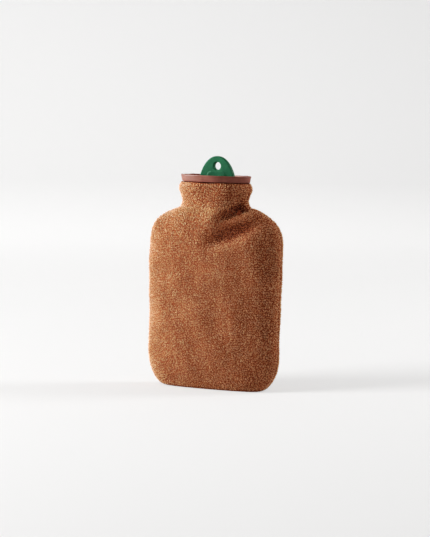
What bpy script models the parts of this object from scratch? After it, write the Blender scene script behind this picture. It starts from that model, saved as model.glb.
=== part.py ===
"""A hot water bottle that stands in its fleece cover.

The cover is a front and a back panel, sewn down both sides and under the base, and drawn in to a
neck with a full collar. The rubber bottle in it shows only the oval rim of its funnel. A stopper
with a holed tab screws into a hard socket in the bottle's neck, down on a washer at the bottom of
the funnel.

Metres, +Z up. The front faces -Y, and the base rests on z = 0.
"""

import math
from collections import namedtuple

import bmesh
import bpy
import numpy as np

# Driving dimensions of the cover and the bottle.
CLOTH = 0.005  # the fleece, from its inside to the ends of its pile
GAP = 0.0003  # between pieces that meet
NO_LENGTH = 1e-9  # stands for no length where it divides
RUBBER = 0.0027
ROOM = 0.0007  # between the bottle and its cover
RIM_TOP = 0.283
BAND = 0.0095  # the height of the rim that shows over the collar
COLLAR_TOP = RIM_TOP - BAND - GAP
SEAT = 0.2545  # where the washer lies, at the bottom of the funnel
LIP = 0.0012  # the rounding of the rim's top edges
AXIS_X = 0.0020  # the screw's axis, in x
BORE_R = 0.0122
BORE_END = 0.2370
SOCKET_R = 0.0149

# The stopper and its washer.
WASHER_R = 0.0155
WASHER = 0.0016
FLANGE_R = 0.0162
FLANGE = 0.0034
FLANGE_BASE = SEAT + GAP + WASHER + GAP
SHAFT_R = 0.0100
SHAFT_END = 0.2385
THREAD_R = 0.0014
THREAD_PITCH = 0.004
THREAD_TURNS = 3.25
THREAD_START = SHAFT_END + 0.0022
TAB_THICK = 0.0058
TAB_TOP = RIM_TOP + 0.0248
TAB_CENTRE = RIM_TOP - 0.020  # the centre of the ellipse that its upper edge follows
TAB_HALF_AT_RIM = 0.0244  # half its width level with the rim's top
TAB_WIDEST = 0.2800  # the height at which it is widest
TAB_EDGE = 0.0012  # the rounding of its edges
HOLE_R = 0.0055
HOLE_X = 0.0008
HOLE_Z = RIM_TOP + 0.0118
HUB_HALF_WIDTH = 0.0135
HUB_THICK = 0.0078
HUB_TOP = RIM_TOP + 0.0048
HUB_CORNER = 0.006

# How finely the soft shapes are cut into faces.
AROUND_FRONT = 40
AROUND_BACK = 24
AROUND_BOTTLE = 36
AROUND_STOPPER = 32
ALONG_TAB = 25
THREAD_STEPS = 20  # in a turn

# A level section: its height, half its width, how far it reaches to the front and to the back,
# how square it is (2 is an ellipse), how far its middle lies to +X, and the rings that lead from
# it to the next section.
Section = namedtuple("Section", "z half_width front back square lean rings")

COVER = (
    Section(0.0000, 0.0705, 0.0180, 0.0180, 2.60, -0.0020, 1),
    Section(0.0015, 0.0765, 0.0215, 0.0215, 2.60, -0.0020, 1),
    Section(0.0060, 0.0828, 0.0242, 0.0242, 2.55, -0.0020, 1),
    Section(0.0140, 0.0890, 0.0262, 0.0262, 2.50, -0.0020, 1),
    Section(0.0260, 0.0947, 0.0278, 0.0278, 2.45, -0.0020, 1),
    Section(0.0420, 0.0972, 0.0288, 0.0288, 2.40, -0.0018, 2),
    Section(0.0700, 0.0975, 0.0300, 0.0300, 2.40, -0.0015, 3),
    Section(0.1150, 0.0979, 0.0308, 0.0308, 2.40, -0.0010, 3),
    Section(0.1600, 0.0988, 0.0304, 0.0304, 2.40, -0.0003, 2),
    Section(0.1850, 0.0992, 0.0292, 0.0292, 2.40, 0.0003, 2),
    Section(0.2020, 0.0978, 0.0278, 0.0278, 2.40, 0.0006, 2),
    Section(0.2140, 0.0935, 0.0268, 0.0268, 2.35, 0.0006, 2),
    Section(0.2240, 0.0860, 0.0262, 0.0262, 2.30, 0.0006, 2),
    Section(0.2320, 0.0750, 0.0262, 0.0262, 2.25, 0.0004, 2),
    Section(0.2380, 0.0605, 0.0270, 0.0270, 2.20, 0.0000, 1),
    Section(0.2415, 0.0510, 0.0280, 0.0280, 2.10, -0.0002, 2),
    Section(0.2475, 0.0477, 0.0288, 0.0288, 2.10, -0.0004, 2),
    Section(0.2560, 0.0496, 0.0304, 0.0304, 2.10, -0.0005, 2),
    Section(0.2650, 0.0522, 0.0326, 0.0326, 2.10, -0.0005, 1),
    Section(0.2695, 0.0514, 0.0320, 0.0320, 2.10, -0.0006, 1),
    Section(COLLAR_TOP, 0.0485, 0.0295, 0.0295, 2.10, -0.0008, 1),
)
BASE_RINGS = (0.38, 0.70)  # smaller copies of the lowest section, on the ground
FOLDS_FADE = 0.012  # how far from the side seams and the collar's top the folds are fully deep

# A soft fold of the front panel: how far its middle stands out (in, where negative), the shares
# of that at its start and its end, half its width above its path and under it, and that path in
# x and z, from the right down to the left.
Fold = namedtuple("Fold", "out start end above under path")

NECK_ROLL = ((0.044, 0.252), (0.030, 0.246), (0.019, 0.239), (0.010, 0.230), (0.005, 0.2195), (0.001, 0.210))
NECK_VALLEY = ((0.051, 0.2465), (0.047, 0.2425), (0.042, 0.2375), (0.034, 0.2325), (0.020, 0.2275))
NECK_RIDGE = ((0.064, 0.231), (0.053, 0.225), (0.040, 0.220), (0.026, 0.2155))
CHEST_VALLEY = ((0.068, 0.219), (0.057, 0.2125), (0.046, 0.208), (0.032, 0.2035), (0.010, 0.198))
CHEST_RIDGE = ((0.074, 0.208), (0.060, 0.201), (0.045, 0.195), (0.030, 0.191), (0.012, 0.186))

FOLDS = (
    Fold(0.0054, 0.4, 0.40, 0.0200, 0.0090, NECK_ROLL),
    Fold(-0.0064, 1.0, 0.40, 0.0057, 0.0065, NECK_VALLEY),
    Fold(0.0008, 0.9, 0.2, 0.0080, 0.0080, NECK_RIDGE),
    Fold(-0.0062, 0.35, 0.40, 0.0130, 0.0080, CHEST_VALLEY),
    Fold(0.0008, 0.3, 0.5, 0.0080, 0.0130, CHEST_RIDGE),
)

# The bottle fills its cover up to this section, and has shoulders and a neck of its own above it.
FILLED = 9
BOTTLE_TOP = (
    Section(0.1780, 0.0925, 0.0226, 0.0226, 2.40, 0.0002, 1),
    Section(0.1950, 0.0860, 0.0180, 0.0180, 2.40, 0.0004, 1),
    Section(0.2070, 0.0730, 0.0152, 0.0152, 2.30, 0.0003, 1),
    Section(0.2170, 0.0540, 0.0150, 0.0150, 2.20, 0.0002, 1),
    Section(0.2260, 0.0360, 0.0160, 0.0160, 2.10, 0.0000, 1),
    Section(0.2360, 0.0290, 0.0180, 0.0180, 2.00, 0.0000, 1),
    Section(0.2480, 0.0310, 0.0206, 0.0206, 2.00, 0.0000, 1),
    Section(0.2600, 0.0380, 0.0232, 0.0232, 2.05, 0.0000, 1),
    Section(0.2690, 0.0422, 0.0244, 0.0244, 2.10, 0.0000, 1),
    Section(RIM_TOP - BAND, 0.0429, 0.0239, 0.0239, 2.10, 0.0000, 1),
)
HOLLOWED = 5  # the sections of its top that the hollow follows
RIM = (
    Section(RIM_TOP - BAND, 0.0481, 0.0288, 0.0288, 2.10, 0.0000, 1),
    Section(RIM_TOP - LIP, 0.0497, 0.0308, 0.0308, 2.10, 0.0000, 1),
    Section(RIM_TOP, 0.0492, 0.0303, 0.0303, 2.10, 0.0000, 1),
    Section(RIM_TOP, 0.0475, 0.0288, 0.0288, 2.10, 0.0000, 1),
)
FUNNEL_INSIDE = (
    Section(RIM_TOP - LIP, 0.0471, 0.0283, 0.0283, 2.10, 0.0000, 1),
    Section(0.2775, 0.0458, 0.0268, 0.0268, 2.10, 0.0000, 1),
    Section(0.2740, 0.0406, 0.0217, 0.0217, 2.10, 0.0000, 1),
    Section(0.2700, 0.0397, 0.0213, 0.0213, 2.10, 0.0000, 1),
    Section(0.2620, 0.0350, 0.0206, 0.0206, 2.05, 0.0006, 1),
    Section(0.2565, 0.0260, 0.0190, 0.0190, 2.00, AXIS_X, 1),
    Section(SEAT, 0.0188, 0.0175, 0.0175, 2.00, AXIS_X, 1),
    Section(SEAT, SOCKET_R + GAP, SOCKET_R + GAP, SOCKET_R + GAP, 2.00, AXIS_X, 1),
    Section(BORE_END, SOCKET_R + GAP, SOCKET_R + GAP, SOCKET_R + GAP, 2.00, AXIS_X, 1),
    Section(0.2330, 0.0185, 0.0148, 0.0148, 2.00, AXIS_X, 1),
)


def clear_scene():
    for obj in list(bpy.data.objects):
        bpy.data.objects.remove(obj)


def collection(name, helper=False):
    made = bpy.data.collections.new(name)
    made.hide_render = helper
    bpy.context.scene.collection.children.link(made)
    return made


def material(name, color, roughness):
    made = bpy.data.materials.new(name)
    made.use_nodes = True
    shader = made.node_tree.nodes["Principled BSDF"]
    shader.inputs["Base Color"].default_value = (*color, 1.0)
    shader.inputs["Roughness"].default_value = roughness
    return made


def smooth_sections(table):
    """The table's sections with smooth ones between them, as rows of its numeric columns."""
    rows = np.array([row[:6] for row in table])
    steps = np.linalg.norm(np.diff(rows[:, :3], axis=0), axis=1)
    slopes = np.diff(rows, axis=0) / steps[:, None]
    before, after = steps[:-1, None], steps[1:, None]
    inner = (slopes[:-1] * after + slopes[1:] * before) / (before + after)
    tangents = np.vstack([slopes[:1], inner, slopes[-1:]])
    made = []
    for i, section in enumerate(table[:-1]):
        for k in range(section.rings):
            t = k / section.rings
            start = 2 * t**3 - 3 * t**2 + 1
            end = 3 * t**2 - 2 * t**3
            leave = (t**3 - 2 * t**2 + t) * steps[i]
            arrive = (t**3 - t**2) * steps[i]
            row = start * rows[i] + end * rows[i + 1]
            made.append(row + leave * tangents[i] + arrive * tangents[i + 1])
    return np.array([*made, rows[-1]])


def ring(row, in_back, in_front):
    """The points of a level section, from +X round by the back, with none on the seam at its sides."""
    z, half_width, front, back, square, lean = row[:6]
    half_turn = [(np.arange(count) + 0.5) / count for count in (in_back, in_front)]
    angle = math.pi * np.concatenate([half_turn[0], 1 + half_turn[1]])
    c, s = np.cos(angle), np.sin(angle)
    x = half_width * np.sign(c) * np.abs(c) ** (2 / square) + lean
    depth = np.where(s < 0, front, back)
    y = depth * np.sign(s) * np.abs(s) ** (2 / square)
    return np.stack([x, y, np.full(len(angle), z)], axis=1)


def rings_of(sections, in_back, in_front):
    return np.array([ring(row, in_back, in_front) for row in sections])


def loft(name, rings, close_start, close_end):
    """A mesh through rings of as many points each, with its first and last ring filled if asked."""
    shape = bmesh.new()
    rows = [[shape.verts.new(point) for point in points] for points in rings]
    count = len(rows[0])
    for low, high in zip(rows[:-1], rows[1:], strict=True):
        for j in range(count):
            k = (j + 1) % count
            shape.faces.new((low[j], low[k], high[k], high[j]))
    if close_start:
        shape.faces.new(rows[0][::-1])
    if close_end:
        shape.faces.new(rows[-1])
    mesh = bpy.data.meshes.new(name)
    shape.to_mesh(mesh)
    shape.free()
    return mesh


def place(name, mesh, where, finish=None):
    obj = bpy.data.objects.new(name, mesh)
    where.objects.link(obj)
    if finish:
        mesh.materials.append(finish)
    return obj


def along(path, x, z):
    """How far points lie from a path in x and z, how far along it, and how far under it, -1 to 1."""
    path = np.array(path)
    lengths = np.linalg.norm(np.diff(path, axis=0), axis=1)
    starts = np.concatenate([[0], np.cumsum(lengths)])
    nearest = np.full(np.shape(x), np.inf)
    share = np.zeros(np.shape(x))
    under = np.zeros(np.shape(x))
    for a, b, length, start in zip(path[:-1], path[1:], lengths, starts, strict=False):
        t = ((x - a[0]) * (b[0] - a[0]) + (z - a[1]) * (b[1] - a[1])) / length**2
        t = np.clip(t, 0, 1)
        right, up = x - a[0] - t * (b[0] - a[0]), z - a[1] - t * (b[1] - a[1])
        away = np.maximum(np.hypot(right, up), NO_LENGTH)
        side = ((b[0] - a[0]) * up - (b[1] - a[1]) * right) / (length * away)
        share = np.where(away < nearest, (start + t * length) / starts[-1], share)
        under = np.where(away < nearest, side, under)
        nearest = np.minimum(nearest, away)
    return nearest, share, under


def fold_depth(points):
    """How far the folds move each point of the cover out along its normal."""
    out = np.zeros(points.shape[:2])
    for fold in FOLDS:
        away, share, under = along(fold.path, points[..., 0], points[..., 2])
        from_middle = 2 * share - 1
        lost = np.where(from_middle < 0, 1 - fold.start, 1 - fold.end) * from_middle**2
        half_width = fold.above + (fold.under - fold.above) * (1 + under) / 2
        out += fold.out * (1 - lost) * np.exp(-((away / half_width) ** 2))
    from_edges = np.minimum(-points[..., 1], COLLAR_TOP - points[..., 2])
    return out * np.clip(from_edges / FOLDS_FADE, 0, 1)


def normals_of(points):
    """The outward normals of a grid of rings, which run up and close round."""
    round_it = np.roll(points, -1, axis=1) - np.roll(points, 1, axis=1)
    up = np.gradient(points, axis=0)
    across = np.cross(round_it, up)
    return across / np.linalg.norm(across, axis=2, keepdims=True)


def cover_surface(name):
    """The cover's outside as one open surface, from the middle of its base to the collar's top."""
    rings = rings_of(smooth_sections(COVER), AROUND_BACK, AROUND_FRONT)
    rings = rings + normals_of(rings) * fold_depth(rings)[..., None]
    base = [rings[0] * (share, share, 1) for share in BASE_RINGS]
    return loft(name, [*base, *rings], close_start=True, close_end=False)


def move_to(obj, where):
    for owner in list(obj.users_collection):
        owner.objects.unlink(obj)
    where.objects.link(obj)


def half_space(name, side, where):
    """A block over one side of the seam, which reaches half the gap past it."""
    size = 2 * RIM_TOP
    bpy.ops.mesh.primitive_cube_add(size=size, location=(0, side * (size - GAP) / 2, RIM_TOP / 2))
    block = bpy.context.object
    block.name = name
    block.display_type = "WIRE"
    move_to(block, where)
    return block


def make_panel(name, cutter, where, finish):
    panel = place(name, cover_surface(name), where, finish)
    wall = panel.modifiers.new("cloth", "SOLIDIFY")
    wall.thickness = CLOTH
    wall.offset = -1
    wall.use_even_offset = True
    cut = panel.modifiers.new("seam", "BOOLEAN")
    cut.operation = "DIFFERENCE"
    cut.solver = "EXACT"
    cut.object = cutter


def make_bottle(where, finish):
    """The vessel, from its base up its outside, over the rim, down the funnel and into the hollow."""
    half = AROUND_BOTTLE // 2
    cover = rings_of(COVER[: FILLED + 1], half, half)
    low = (cover - normals_of(cover) * (CLOTH + ROOM))[:FILLED]
    outside = np.concatenate([low, rings_of(BOTTLE_TOP, half, half)])
    hollow = (outside - normals_of(outside) * RUBBER)[FILLED + HOLLOWED - 1 :: -1]
    mouth = rings_of(RIM + FUNNEL_INSIDE, half, half)
    mesh = loft("bottle", [*outside, *mouth, *hollow], close_start=True, close_end=True)
    place("bottle", mesh, where, finish)


def mesh_of_curve(curve, where):
    """The same shape as a welded mesh object, in place of the curve."""
    graph = bpy.context.evaluated_depsgraph_get()
    mesh = bpy.data.meshes.new_from_object(curve.evaluated_get(graph))
    shape = bmesh.new()
    shape.from_mesh(mesh)
    bmesh.ops.remove_doubles(shape, verts=shape.verts, dist=1e-6)
    bmesh.ops.recalc_face_normals(shape, faces=shape.faces)
    shape.to_mesh(mesh)
    shape.free()
    made = place(curve.name + "_solid", mesh, where)
    made.matrix_world = curve.matrix_world
    bpy.data.objects.remove(curve)
    return made


def slab(name, outline, thickness, edge, where):
    """An upright plate across Y with this outline in x and z, and rounded edges."""
    data = bpy.data.curves.new(name, "CURVE")
    data.dimensions = "2D"
    data.fill_mode = "BOTH"
    data.extrude = thickness / 2
    spline = data.splines.new("POLY")
    spline.points.add(len(outline) - 1)
    for point, (x, z) in zip(spline.points, outline, strict=True):
        point.co = (x, z, 0, 1)
    spline.use_cyclic_u = True
    curve = bpy.data.objects.new(name, data)
    where.objects.link(curve)
    curve.location.x = AXIS_X
    curve.rotation_euler.x = math.pi / 2
    bpy.context.view_layer.update()
    plate = mesh_of_curve(curve, where)
    rounding = plate.modifiers.new("edges", "BEVEL")
    rounding.width = edge
    rounding.segments = 2
    rounding.limit_method = "ANGLE"
    rounding.angle_limit = math.radians(50)
    return plate


def tab_outline():
    """Part of an upright ellipse over the widest height, drawn in to the flange under it."""
    tall = TAB_TOP - TAB_CENTRE
    wide = TAB_HALF_AT_RIM / math.sqrt(1 - ((RIM_TOP - TAB_CENTRE) / tall) ** 2)
    start = math.asin((TAB_WIDEST - TAB_CENTRE) / tall)
    upper = np.linspace(start, math.pi - start, ALONG_TAB)
    points = [(wide * math.cos(a), TAB_CENTRE + tall * math.sin(a)) for a in upper]
    widest = points[0][0]
    drop = TAB_WIDEST - FLANGE_BASE - FLANGE / 2
    lower = np.linspace(0.1, 0.8, ALONG_TAB // 3)
    drawn_in = [(widest * (1 - u**1.4), TAB_WIDEST - drop * u) for u in lower]
    left = [(-x, z) for x, z in drawn_in]
    return points + left + drawn_in[::-1]


def hub_outline():
    """The thick root of the tab, with round shoulders."""
    bottom = FLANGE_BASE + FLANGE / 2
    points = [(-HUB_HALF_WIDTH, bottom), (HUB_HALF_WIDTH, bottom)]
    for side, start in ((1, 0), (-1, math.pi / 2)):
        for a in np.linspace(start, start + math.pi / 2, 6):
            x = side * (HUB_HALF_WIDTH - HUB_CORNER) + HUB_CORNER * math.cos(a)
            points.append((x, HUB_TOP - HUB_CORNER + HUB_CORNER * math.sin(a)))
    return points


def cylinder(name, radius, low, high, where):
    bpy.ops.mesh.primitive_cylinder_add(
        vertices=AROUND_STOPPER,
        radius=radius,
        depth=high - low,
        location=(AXIS_X, 0, (low + high) / 2),
    )
    made = bpy.context.object
    made.name = name
    move_to(made, where)
    return made


def thread(where):
    """A round-backed thread up the shaft, as a wire that sinks halfway into it."""
    count = int(THREAD_STEPS * THREAD_TURNS) + 1
    data = bpy.data.curves.new("thread", "CURVE")
    data.dimensions = "3D"
    data.bevel_depth = THREAD_R
    data.bevel_resolution = 1
    data.use_fill_caps = True
    spline = data.splines.new("POLY")
    spline.points.add(count - 1)
    for k, point in enumerate(spline.points):
        angle = math.tau * k / THREAD_STEPS
        height = THREAD_START + THREAD_PITCH * k / THREAD_STEPS
        point.co = (SHAFT_R * math.cos(angle), SHAFT_R * math.sin(angle), height, 1)
    curve = bpy.data.objects.new("thread", data)
    curve.location.x = AXIS_X
    where.objects.link(curve)
    bpy.context.view_layer.update()
    return mesh_of_curve(curve, where)


def combine(target, operation, other):
    step = target.modifiers.new(other.name, "BOOLEAN")
    step.operation = operation
    step.solver = "EXACT"
    step.object = other


def make_stopper(where, cutters, finish):
    """Tab, hub, flange and threaded shaft in one piece, with its origin on the screw's axis."""
    stopper = slab("tab", tab_outline(), TAB_THICK, TAB_EDGE, cutters)
    hole = cylinder("tab_hole", HOLE_R, -TAB_THICK, TAB_THICK, cutters)
    hole.location = (AXIS_X + HOLE_X, 0, HOLE_Z)
    hole.rotation_euler = (math.pi / 2, 0, 0)
    hub = slab("hub", hub_outline(), HUB_THICK, TAB_EDGE, cutters)
    flange = cylinder("flange", FLANGE_R, FLANGE_BASE, FLANGE_BASE + FLANGE, cutters)
    shaft = cylinder("shaft", SHAFT_R, SHAFT_END, FLANGE_BASE + FLANGE / 2, cutters)
    combine(stopper, "DIFFERENCE", hole)
    for piece in (hub, flange, shaft, thread(cutters)):
        combine(stopper, "UNION", piece)
    stopper.name = "stopper"
    stopper.data.materials.append(finish)
    move_to(stopper, where)


def make_ring(name, inner, outer, low, high, corner, where, finish):
    """A flat ring with its outer edges cut off, turned round the screw's axis."""
    profile = (
        (outer - corner, high),
        (outer, high - corner),
        (outer, low + corner),
        (outer - corner, low),
        (inner, low),
        (inner, high),
    )
    mesh = bpy.data.meshes.new(name)
    edges = [(i, (i + 1) % len(profile)) for i in range(len(profile))]
    mesh.from_pydata([(x, 0, z) for x, z in profile], edges, [])
    made = place(name, mesh, where, finish)
    made.location.x = AXIS_X
    turned = made.modifiers.new("turned", "SCREW")
    turned.steps = AROUND_STOPPER
    turned.render_steps = AROUND_STOPPER
    turned.use_merge_vertices = True
    turned.merge_threshold = 0.0001


def make_washer(where, finish):
    inner = SHAFT_R + THREAD_R + 2 * GAP
    low = SEAT + GAP
    make_ring("washer", inner, WASHER_R, low, low + WASHER, WASHER / 4, where, finish)


def make_socket(where, finish):
    """The hard sleeve in the bottle's neck that the stopper screws into."""
    make_ring("socket", BORE_R, SOCKET_R, BORE_END + GAP, SEAT, GAP, where, finish)


def main():
    clear_scene()
    parts = collection("hot_water_bottle_with_cover")
    cutters = collection("cutters", helper=True)
    fleece = material("fleece", (0.36, 0.15, 0.06), 0.95)
    rubber = material("rubber", (0.16, 0.06, 0.035), 0.5)
    plastic = material("plastic", (0.015, 0.10, 0.045), 0.35)
    behind = half_space("behind_the_seam", 1, cutters)
    before = half_space("before_the_seam", -1, cutters)
    make_panel("cover_front", behind, parts, fleece)
    make_panel("cover_back", before, parts, fleece)
    make_bottle(parts, rubber)
    make_stopper(parts, cutters, plastic)
    make_washer(parts, rubber)
    make_socket(parts, plastic)


main()
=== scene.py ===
"""A hot water bottle in its curly fleece cover, dressed for the camera.

Each panel of the cover is a backing cloth over the sections that the solid panel has, with short
bent curls of pile all over it. The bottle's rubber shows at the rim and in the funnel, and the
moulded stopper stands in it. Metres, +Z up, with the front panel towards -Y.
"""

import math
from collections import namedtuple

import bmesh
import bpy
import numpy as np
from mathutils import Matrix, Vector

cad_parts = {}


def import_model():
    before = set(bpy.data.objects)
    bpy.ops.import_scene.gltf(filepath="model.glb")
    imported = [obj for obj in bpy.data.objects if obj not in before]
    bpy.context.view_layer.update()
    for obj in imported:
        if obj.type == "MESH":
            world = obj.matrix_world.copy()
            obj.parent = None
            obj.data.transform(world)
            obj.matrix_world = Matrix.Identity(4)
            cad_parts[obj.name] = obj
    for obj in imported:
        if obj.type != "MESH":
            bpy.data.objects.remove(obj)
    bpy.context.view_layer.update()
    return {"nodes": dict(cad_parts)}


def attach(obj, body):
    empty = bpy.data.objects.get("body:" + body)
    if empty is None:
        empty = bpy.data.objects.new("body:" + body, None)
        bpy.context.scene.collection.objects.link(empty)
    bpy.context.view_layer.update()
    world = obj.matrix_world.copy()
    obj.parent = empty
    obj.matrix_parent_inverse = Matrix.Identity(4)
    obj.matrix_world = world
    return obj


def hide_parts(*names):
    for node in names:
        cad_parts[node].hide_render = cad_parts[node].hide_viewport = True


# The camera, set to the photograph's view.
CAMERA_TURN = math.radians(29.0)
CAMERA_AWAY = 2.5
CAMERA_HEIGHT = 0.34
CAMERA_PITCH = math.radians(4.1415)
CAMERA_ROLL = math.radians(0.6386)
CAMERA_LENS = 126.86  # millimetres
CAMERA_SENSOR = 36  # millimetres

# The solids' own sizes.
CLOTH = 0.005  # the fleece, from its inside to the ends of its pile
GAP = 0.0003  # between pieces that meet
RUBBER = 0.0027
ROOM = 0.0007  # between the bottle and its cover
RIM_TOP = 0.283
BAND = 0.0095  # the height of the rim that shows over the collar
COLLAR_TOP = RIM_TOP - BAND - GAP
SEAT = 0.2545  # where the washer lies, at the bottom of the funnel
AXIS_X = 0.0020  # the screw's axis, in x
BORE_END = 0.2370
SOCKET_R = 0.0149
WASHER = 0.0016
FLANGE_R = 0.0162
FLANGE = 0.0034
FLANGE_BASE = SEAT + GAP + WASHER + GAP
SHAFT_R = 0.0100
SHAFT_END = 0.2385
THREAD_R = 0.0014
THREAD_PITCH = 0.004
THREAD_TURNS = 3.25
THREAD_START = SHAFT_END + 0.0022
TAB_THICK = 0.0058
TAB_TOP = RIM_TOP + 0.0248
TAB_CENTRE = RIM_TOP - 0.020  # the centre of the ellipse that its upper edge follows
TAB_WIDEST = 0.2800  # the height at which it is widest
HOLE_Z = RIM_TOP + 0.0118
HUB_HALF_WIDTH = 0.0135
HUB_TOP = RIM_TOP + 0.0048
HUB_CORNER = 0.006

# Sizes of the stopper that follow the photograph a little more closely than the solid does.
TAB_HALF_AT_RIM = 0.0249  # half its width level with the rim's top
TAB_EDGE = 0.0009  # the rounding of its edges
HOLE_R = 0.0051
HOLE_X = 0.0010
HUB_THICK = 0.0064
HUB_EDGE = 0.00095

# The tab's sides under its widest place, which are drawn in towards the flange.
TAB_LOWER = (0.06, 0.8)  # the stretch of the way down that is outlined
TAB_DRAWN_IN = 1.4  # the power of the curve

# How finely the stopper is cut, and how its pieces are run together as in a mould.
TAB_ARC_POINTS = 73
TAB_LOWER_POINTS = 16
TAB_EDGE_STEPS = 3
HUB_CORNER_POINTS = 12
HUB_EDGE_STEPS = 4
SHARP = math.radians(50)  # edges that turn by more are rounded
ROUND_VERTICES = 96
THREAD_STEPS = 48  # in a turn
THREAD_ROUNDNESS = 3
MOULD_VOXEL = 0.00042
MOULD_SOFTENING = 0.5
MOULD_SOFTENINGS = 12

# A level section: its height, half its width, its reach to the front or back, how square it is
# (2 is an ellipse), and how far its middle lies to +X.
Section = namedtuple("Section", "z half_width depth square lean")

COVER = (
    Section(0.0000, 0.0705, 0.0180, 2.60, -0.0020),
    Section(0.0015, 0.0765, 0.0215, 2.60, -0.0020),
    Section(0.0060, 0.0828, 0.0242, 2.55, -0.0020),
    Section(0.0140, 0.0890, 0.0262, 2.50, -0.0020),
    Section(0.0260, 0.0947, 0.0278, 2.45, -0.0020),
    Section(0.0420, 0.0972, 0.0288, 2.40, -0.0018),
    Section(0.0700, 0.0975, 0.0300, 2.40, -0.0015),
    Section(0.1150, 0.0979, 0.0308, 2.40, -0.0010),
    Section(0.1600, 0.0988, 0.0304, 2.40, -0.0003),
    Section(0.1850, 0.0992, 0.0292, 2.40, 0.0003),
    Section(0.2020, 0.0978, 0.0278, 2.40, 0.0006),
    Section(0.2140, 0.0935, 0.0268, 2.35, 0.0006),
    Section(0.2240, 0.0860, 0.0262, 2.30, 0.0006),
    Section(0.2320, 0.0750, 0.0262, 2.25, 0.0004),
    Section(0.2380, 0.0605, 0.0270, 2.20, 0.0000),
    Section(0.2415, 0.0510, 0.0280, 2.10, -0.0002),
    Section(0.2475, 0.0477, 0.0288, 2.10, -0.0004),
    Section(0.2560, 0.0496, 0.0304, 2.10, -0.0005),
    Section(0.2650, 0.0522, 0.0326, 2.10, -0.0005),
    Section(0.2695, 0.0514, 0.0320, 2.10, -0.0006),
    Section(COLLAR_TOP, 0.0485, 0.0295, 2.10, -0.0008),
)

# A soft fold of the front panel: how far its middle stands out (in, where negative), the shares
# of that at its start and its end, half its width above its path and under it, and that path in
# x and z, from the right down to the left.
Fold = namedtuple("Fold", "out start end above under path")

NECK_ROLL = ((0.044, 0.252), (0.030, 0.246), (0.019, 0.239), (0.010, 0.230), (0.005, 0.2195), (0.001, 0.210))
NECK_VALLEY = ((0.051, 0.2465), (0.047, 0.2425), (0.042, 0.2375), (0.034, 0.2325), (0.020, 0.2275))
NECK_RIDGE = ((0.064, 0.231), (0.053, 0.225), (0.040, 0.220), (0.026, 0.2155))
CHEST_VALLEY = ((0.068, 0.219), (0.057, 0.2125), (0.046, 0.208), (0.032, 0.2035), (0.010, 0.198))
CHEST_RIDGE = ((0.074, 0.208), (0.060, 0.201), (0.045, 0.195), (0.030, 0.191), (0.012, 0.186))

FOLDS = (
    Fold(0.0043, 0.4, 0.30, 0.0200, 0.0100, NECK_ROLL),
    Fold(-0.0064, 1.0, 0.40, 0.0057, 0.0065, NECK_VALLEY),
    Fold(0.0008, 0.9, 0.2, 0.0080, 0.0080, NECK_RIDGE),
    Fold(-0.0062, 0.35, 0.40, 0.0130, 0.0080, CHEST_VALLEY),
    Fold(0.0008, 0.3, 0.5, 0.0080, 0.0130, CHEST_RIDGE),
)
FOLDS_FADE = 0.012  # how far from the side seams and the collar's top the folds are fully deep
# Painted shade in the folds' valleys: the pile and its backing are darkened there, in place of the shade
# that falls in them.
FOLD_SHADE_FULL_AT = 0.0045  # a valley this deep gets the full painted shade
FOLD_SHADE_RAISED = 0.0035  # the painted shade is moved up by this much, onto the valley's upper flank where the shade falls
# how much darker the painted shade makes the curls
FOLD_SHADE_DARKER = 0.60

# The panels, over the sections and folds.
GRID_STEP = 0.00106
COLUMNS = 256  # in the outside of a panel's grid
SECTION_POINTS = 721  # of the fine outline that a row of the grid is spaced out on
SOFT_HEIGHT = 0.0006  # of the soft swellings of the cloth
SOFT_APART = 0.045  # from one to the next
SOFT_WAVES = 24
SOFT_SPREAD = 0.22  # how far the waves' lengths differ, as a share
SOFT_FROM_SEAM = 0.015  # nearer to a seam the swellings fade
SOFT_FROM_BASE = 0.02
SEAM_DIP = 0.0009
SEAM_HALF_WIDTH = 0.0020
SEAM_FROM_BASE = 0.004  # nearer to the ground the dip fades
HEM_ROUND = 0.0012
HEM_STEPS = 4
LEAN = 0.018  # how far the rim and the collar's top drop with each metre of x
LEAN_FROM = 0.258  # the height above which they lean
LEAN_OVER = 0.014  # the rise over which the lean grows to the full one

# The backing cloth.
BACKING_EVERY = 2  # it takes every second row and column of the grid
INSIDE_EVERY = 2  # its inside has one column for as many outside
PILE_SUNK = 0.0012  # how far it lies under the solids' outside
PILE_SUNK_LEAST = 0.2  # the share of that at its hem and on the ground
PILE_SUNK_FROM_TOP = 0.0015
PILE_SUNK_FROM_BASE = 0.003

# The curls of the pile. Where a curl's value is drawn, the two numbers are the least and the most.
CURL_APART = 0.00220
CURL_STRAY = 0.28  # how far a curl strays from its place, as a share of CURL_APART
CURL_LENGTH = 0.0027
CURL_HALF_WIDTH = 0.00104
CURL_HALF_HEIGHT = 0.00100
CURL_LENGTHS = (0.8, 1.2)  # shares of its length
CURL_SIZES = (0.82, 1.15)  # shares of its width and height
CURL_BENDS = (0.10, 0.55)  # how far it bends aside, as a share of half its length
CURL_BEND_AROUND = 0.35  # keeps a bent curl's middle on its place
CURL_SINKS = (-0.0001, 0.00045)  # about how far its top lies under the solids' outside
CURL_ENDS_SINK = 0.0006  # how much deeper its ends lie
CURL_SIDES_SINK = 0.35  # a share of its height, under its middle line
CURL_TURNS_FROM = (0.3, 0.2, 1.0)  # a slanting direction that its turn is measured from
CURL_STATIONS = ((-1.0, 0.0), (-0.4, 1.0), (0.4, 1.0), (1.0, 0.0))  # place, and share of the size
CURL_POINTS = 8
CURL_TONE = 0.48  # of the darkest curl's top
CURL_TONE_DRAWN = 0.50  # how much lighter the lightest one's is
# Painted shade on each curl: its sunken ends and its sides are darker than its top.
CURL_TIP_SHADED = 0.35
CURL_SIDE_SHADED = 0.42  # painted shade on its sides, as a share of its top's tone
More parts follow.
